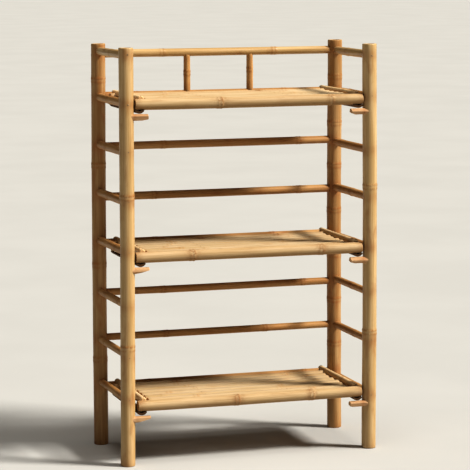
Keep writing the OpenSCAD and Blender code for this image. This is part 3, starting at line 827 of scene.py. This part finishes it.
for level in ("bottom", "middle", "top"):
    body = level + "_shelf"
    # rails
    for which in ("front", "rear"):
        node = "%s_%s_rail" % (level, which)
        c, d = mid(node)
        rng = np.random.default_rng(seed_of(node))
        r = d[2] / 2 - RING
        half = d[0] / 2
        if which == "front":
            at = [x + half for x in FRONT_NODES[level]]
        else:
            at = [x + half for x in REAR_NODES[level]]
        short = {"bottom": 3.6, "middle": 1.2, "top": 2.4}[level] * MM if which == "front" else 0.0
        at = [a - short for a in at]
        me = Mesh()
        cane(me, node, (c[0] - half + short, c[1], c[2]), (c[0] + half, c[1], c[2]), r * 1.0, r * 1.0, at=at, seg=48,
             step=8.0, bow=(rng.uniform(-0.7, 0.7), rng.uniform(-0.6, 0.6)), ref=(0, 0, 1), wander=0.5, deep=0.10,
             end0=("cut", 0.8, 12.0, 3.8), end1=("cut", 2.2, 12.0, 3.8), tone=(0.0, 0.25),
             dirt=((0.004, 0.006), (2 * half - 0.004, 0.006)), swell=1.15, gain=1.35, under=0.95, blush=0.95,
             tips=0.50)
        me.make(node + "_cane", M_SHELF, body, [node])
    S = mid(level + "_front_rail")[0][2]
    # end rods
    for side in ("left", "right"):
        node = "%s_end_rod_%s" % (level, side)
        lo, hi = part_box(node)
        rng = np.random.default_rng(seed_of(node))
        r = (hi.x - lo.x) / 2 - RING
        x = (lo.x + hi.x) / 2
        z = hi.z - RING - r
        me = Mesh()
        bc, bd = mid("back_rail_%d" % {"bottom": 1, "middle": 4, "top": 7}[level])
        saddle = bd[2] / 2 - RING + 0.0007

        def hook(v, zc=bc[2], r2=saddle):
            """Hollow the rod over the fixed back rail."""
            dy = v[:, 1] - PY
            over = np.abs(dy) < r2
            floor_z = zc + np.sqrt(np.maximum(r2 * r2 - dy * dy, 0.0))
            v = v.copy()
            v[:, 2] = np.where(over, np.maximum(v[:, 2], floor_z), v[:, 2])
            return v

        cane(me, node, (x, lo.y, z), (x, hi.y, z), r * 0.99, r * rng.uniform(0.96, 1.0),
             at=[rng.uniform(0.070, 0.100)], seg=32, step=8.0,
             end0=("cone", 2.4, 0.0, 0.0), end1=("cone", 1.8, 0.0, 0.0), tone=(0.0, 0.3),
             bow=(rng.uniform(-0.5, 0.5), 0.0), ref=(1, 0, 0), gain=0.6,
             extra=[PY - lo.y + d * MM for d in np.arange(-12.5, 8.0, 0.6)], shape=hook)
        me.make(node + "_cane", M_ROD_WITH_PAINTED_LIGHT, body, [node])
    # slats
    node = level + "_slats"
    lo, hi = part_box(node)
    count = 6
    pitch = (hi.y - lo.y + 0.0014) / count
    prof = crown((pitch / MM - 1.5), 8.4, 23.0)
    me = Mesh()
    for j in range(count):
        rng = np.random.default_rng(seed_of(node + str(j)))
        y = lo.y - 0.0007 + (j + 0.5) * pitch
        z = hi.z - 0.0001
        a, b = rng.uniform(-2.5, 2.5) * MM, rng.uniform(-2.5, 2.5) * MM
        first = rng.uniform(0.04, 0.15)
        at = [first, first + rng.uniform(0.28, 0.36)]
        strip(me, node + str(j), (lo.x + a, y, z), (hi.x + b, y, z), prof, (0, -1, 0), (0, 0, 1), at=at,
              tone=(0.0, 0.45), dirt=((-0.105 - lo.x, 0.005), (0.105 - lo.x, 0.005)))
    me.make(node + "_split", M_SPLIT, body, [node], sharp=48)
    # bearers
    lo_s, hi_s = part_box(level + "_slats")
    node = level + "_bearers"
    lo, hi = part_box(node)
    z, r = hi_s.z - 0.0087 - 0.0072, 0.0072
    me = Mesh()
    for j, x in enumerate((-0.105, 0.105)):
        rng = np.random.default_rng(seed_of(node + str(j)))
        cane(me, node + str(j), (x, lo.y + 0.004, z), (x, hi.y - 0.004, z), r, r * 0.98,
             at=[rng.uniform(0.05, 0.17)], seg=28, step=9.0, tone=(0.1, 0.5), ref=(1, 0, 0), swell=0.5, gain=0.6)
    # the ledges under both ends of the slats: half-round, skin down
    prof = []
    for t in np.linspace(-1.183, 1.183, 15):
        prof.append((14.4 * math.sin(t), 5.4 - 14.4 * math.cos(t), 1.0))
    for q in np.linspace(12.4, -12.4, 9):
        prof.append((q, -0.3 * (1 - (q / 12.4) ** 2), 0.0))
    for x in (lo.x + 0.0134, hi.x - 0.0134):
        strip(me, node + "ledge%d" % (x > 0), (x, lo.y + 0.004, hi_s.z - 0.0088), (x, hi.y - 0.004, hi_s.z - 0.0088), prof,
              (1, 0, 0), (0, 0, 1), at=[0.07], tone=(0.4, 0.8), swell=-0.5, wave=0.1)
    me.make(node + "_cane", M_CANE, body, [node])
    # end battens: half-round, skin down, hollow side up
    node = level + "_end_battens"
    lo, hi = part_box(node)
    prof = []
    rad, wall, cz = 14.0, 5.6, 14.0 - 7.9
    a0 = math.acos(cz / rad)
    for t in np.linspace(-a0, a0, 13):
        prof.append((rad * math.sin(t), -(rad * math.cos(t) - cz), 1.0))
    a1 = math.acos(cz / (rad - wall))
    for t in np.linspace(a1, -a1, 9):
        prof.append(((rad - wall) * math.sin(t), -((rad - wall) * math.cos(t) - cz), 0.0))
    me = Mesh()
    for sx in (-1, 1):
        x = sx * (hi.x - 0.012)
        strip(me, node + str(sx), (x, lo.y, hi.z), (x, hi.y, hi.z), prof, (1, 0, 0), (0, 0, 1), at=[0.09, 0.185],
              tone=(0.1, 0.4), swell=-0.6, wave=0.1)
    me.make(node + "_split", M_BATTEN_PAINTED_SHADE, body, [node], sharp=48)
    # tacks
    node = level + "_nails"
    lo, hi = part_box(node)
    rear = mid(level + "_rear_rail")[0][1]
    front = mid(level + "_front_rail")[0][1]
    rods = [mid("%s_end_rod_%s" % (level, side))[0][0] for side in ("left", "right")]
    rod_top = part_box(level + "_end_rod_right")[1].z - RING
    bat_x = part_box(level + "_end_battens")[1].x - 0.012
    bat_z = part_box(level + "_end_battens")[0].z
    me = Mesh()
    for x in (-0.105, 0.105):
        for j in range(count):
            y = lo_s.y - 0.0007 + (j + 0.5) * pitch
            nail(me, (x, y, hi_s.z - 0.0165), (x, y, hi_s.z + 0.0001), 0.0008, 0.0018, 0.0005)
    for sx in (-1, 1):
        for y in (front + 0.010, rear):
            rx = rods[0 if sx < 0 else 1]
            nail(me, (rx, y, rod_top - 0.0135), (rx, y, rod_top + 0.0001), 0.0008, 0.0018, 0.0005)
        for y in (front, rear):
            nail(me, (sx * bat_x, y, bat_z + 0.014), (sx * bat_x, y, bat_z - 0.0001), 0.0008, 0.0018, 0.0002)
    me.make(node + "_round", M_TACK, body, [node], sharp=60)

# ------------------------------------------------------------------ floor
g = Graph("studio_floor")
co = g.t.nodes.new("ShaderNodeTexCoord").outputs["Object"]
g.link(g.mix(g.ramp(g.noise(co, 1.5, 3.0), 0.3, 0.7), (0.485, 0.482, 0.470), (0.505, 0.502, 0.490)), g.bsdf.inputs["Base Color"])
g.bsdf.inputs["Roughness"].default_value = 0.9
# the floor glows faintly: painted light that lifts the shadows cast on it
g.bsdf.inputs["Emission Color"].default_value = (1.0, 0.96, 0.90, 1.0)
g.bsdf.inputs["Emission Strength"].default_value = 0.03
fl = bpy.data.meshes.new("floor")
fl.from_pydata([(-120, -60, 0), (120, -60, 0), (120, 160, 0), (-120, 160, 0)], [], [(0, 1, 2, 3)])
fl.materials.append(g.mat)
floor = bpy.data.objects.new("floor", fl)
bpy.context.scene.collection.objects.link(floor)
floor.location.z = -0.0005

bpy.context.view_layer.update()
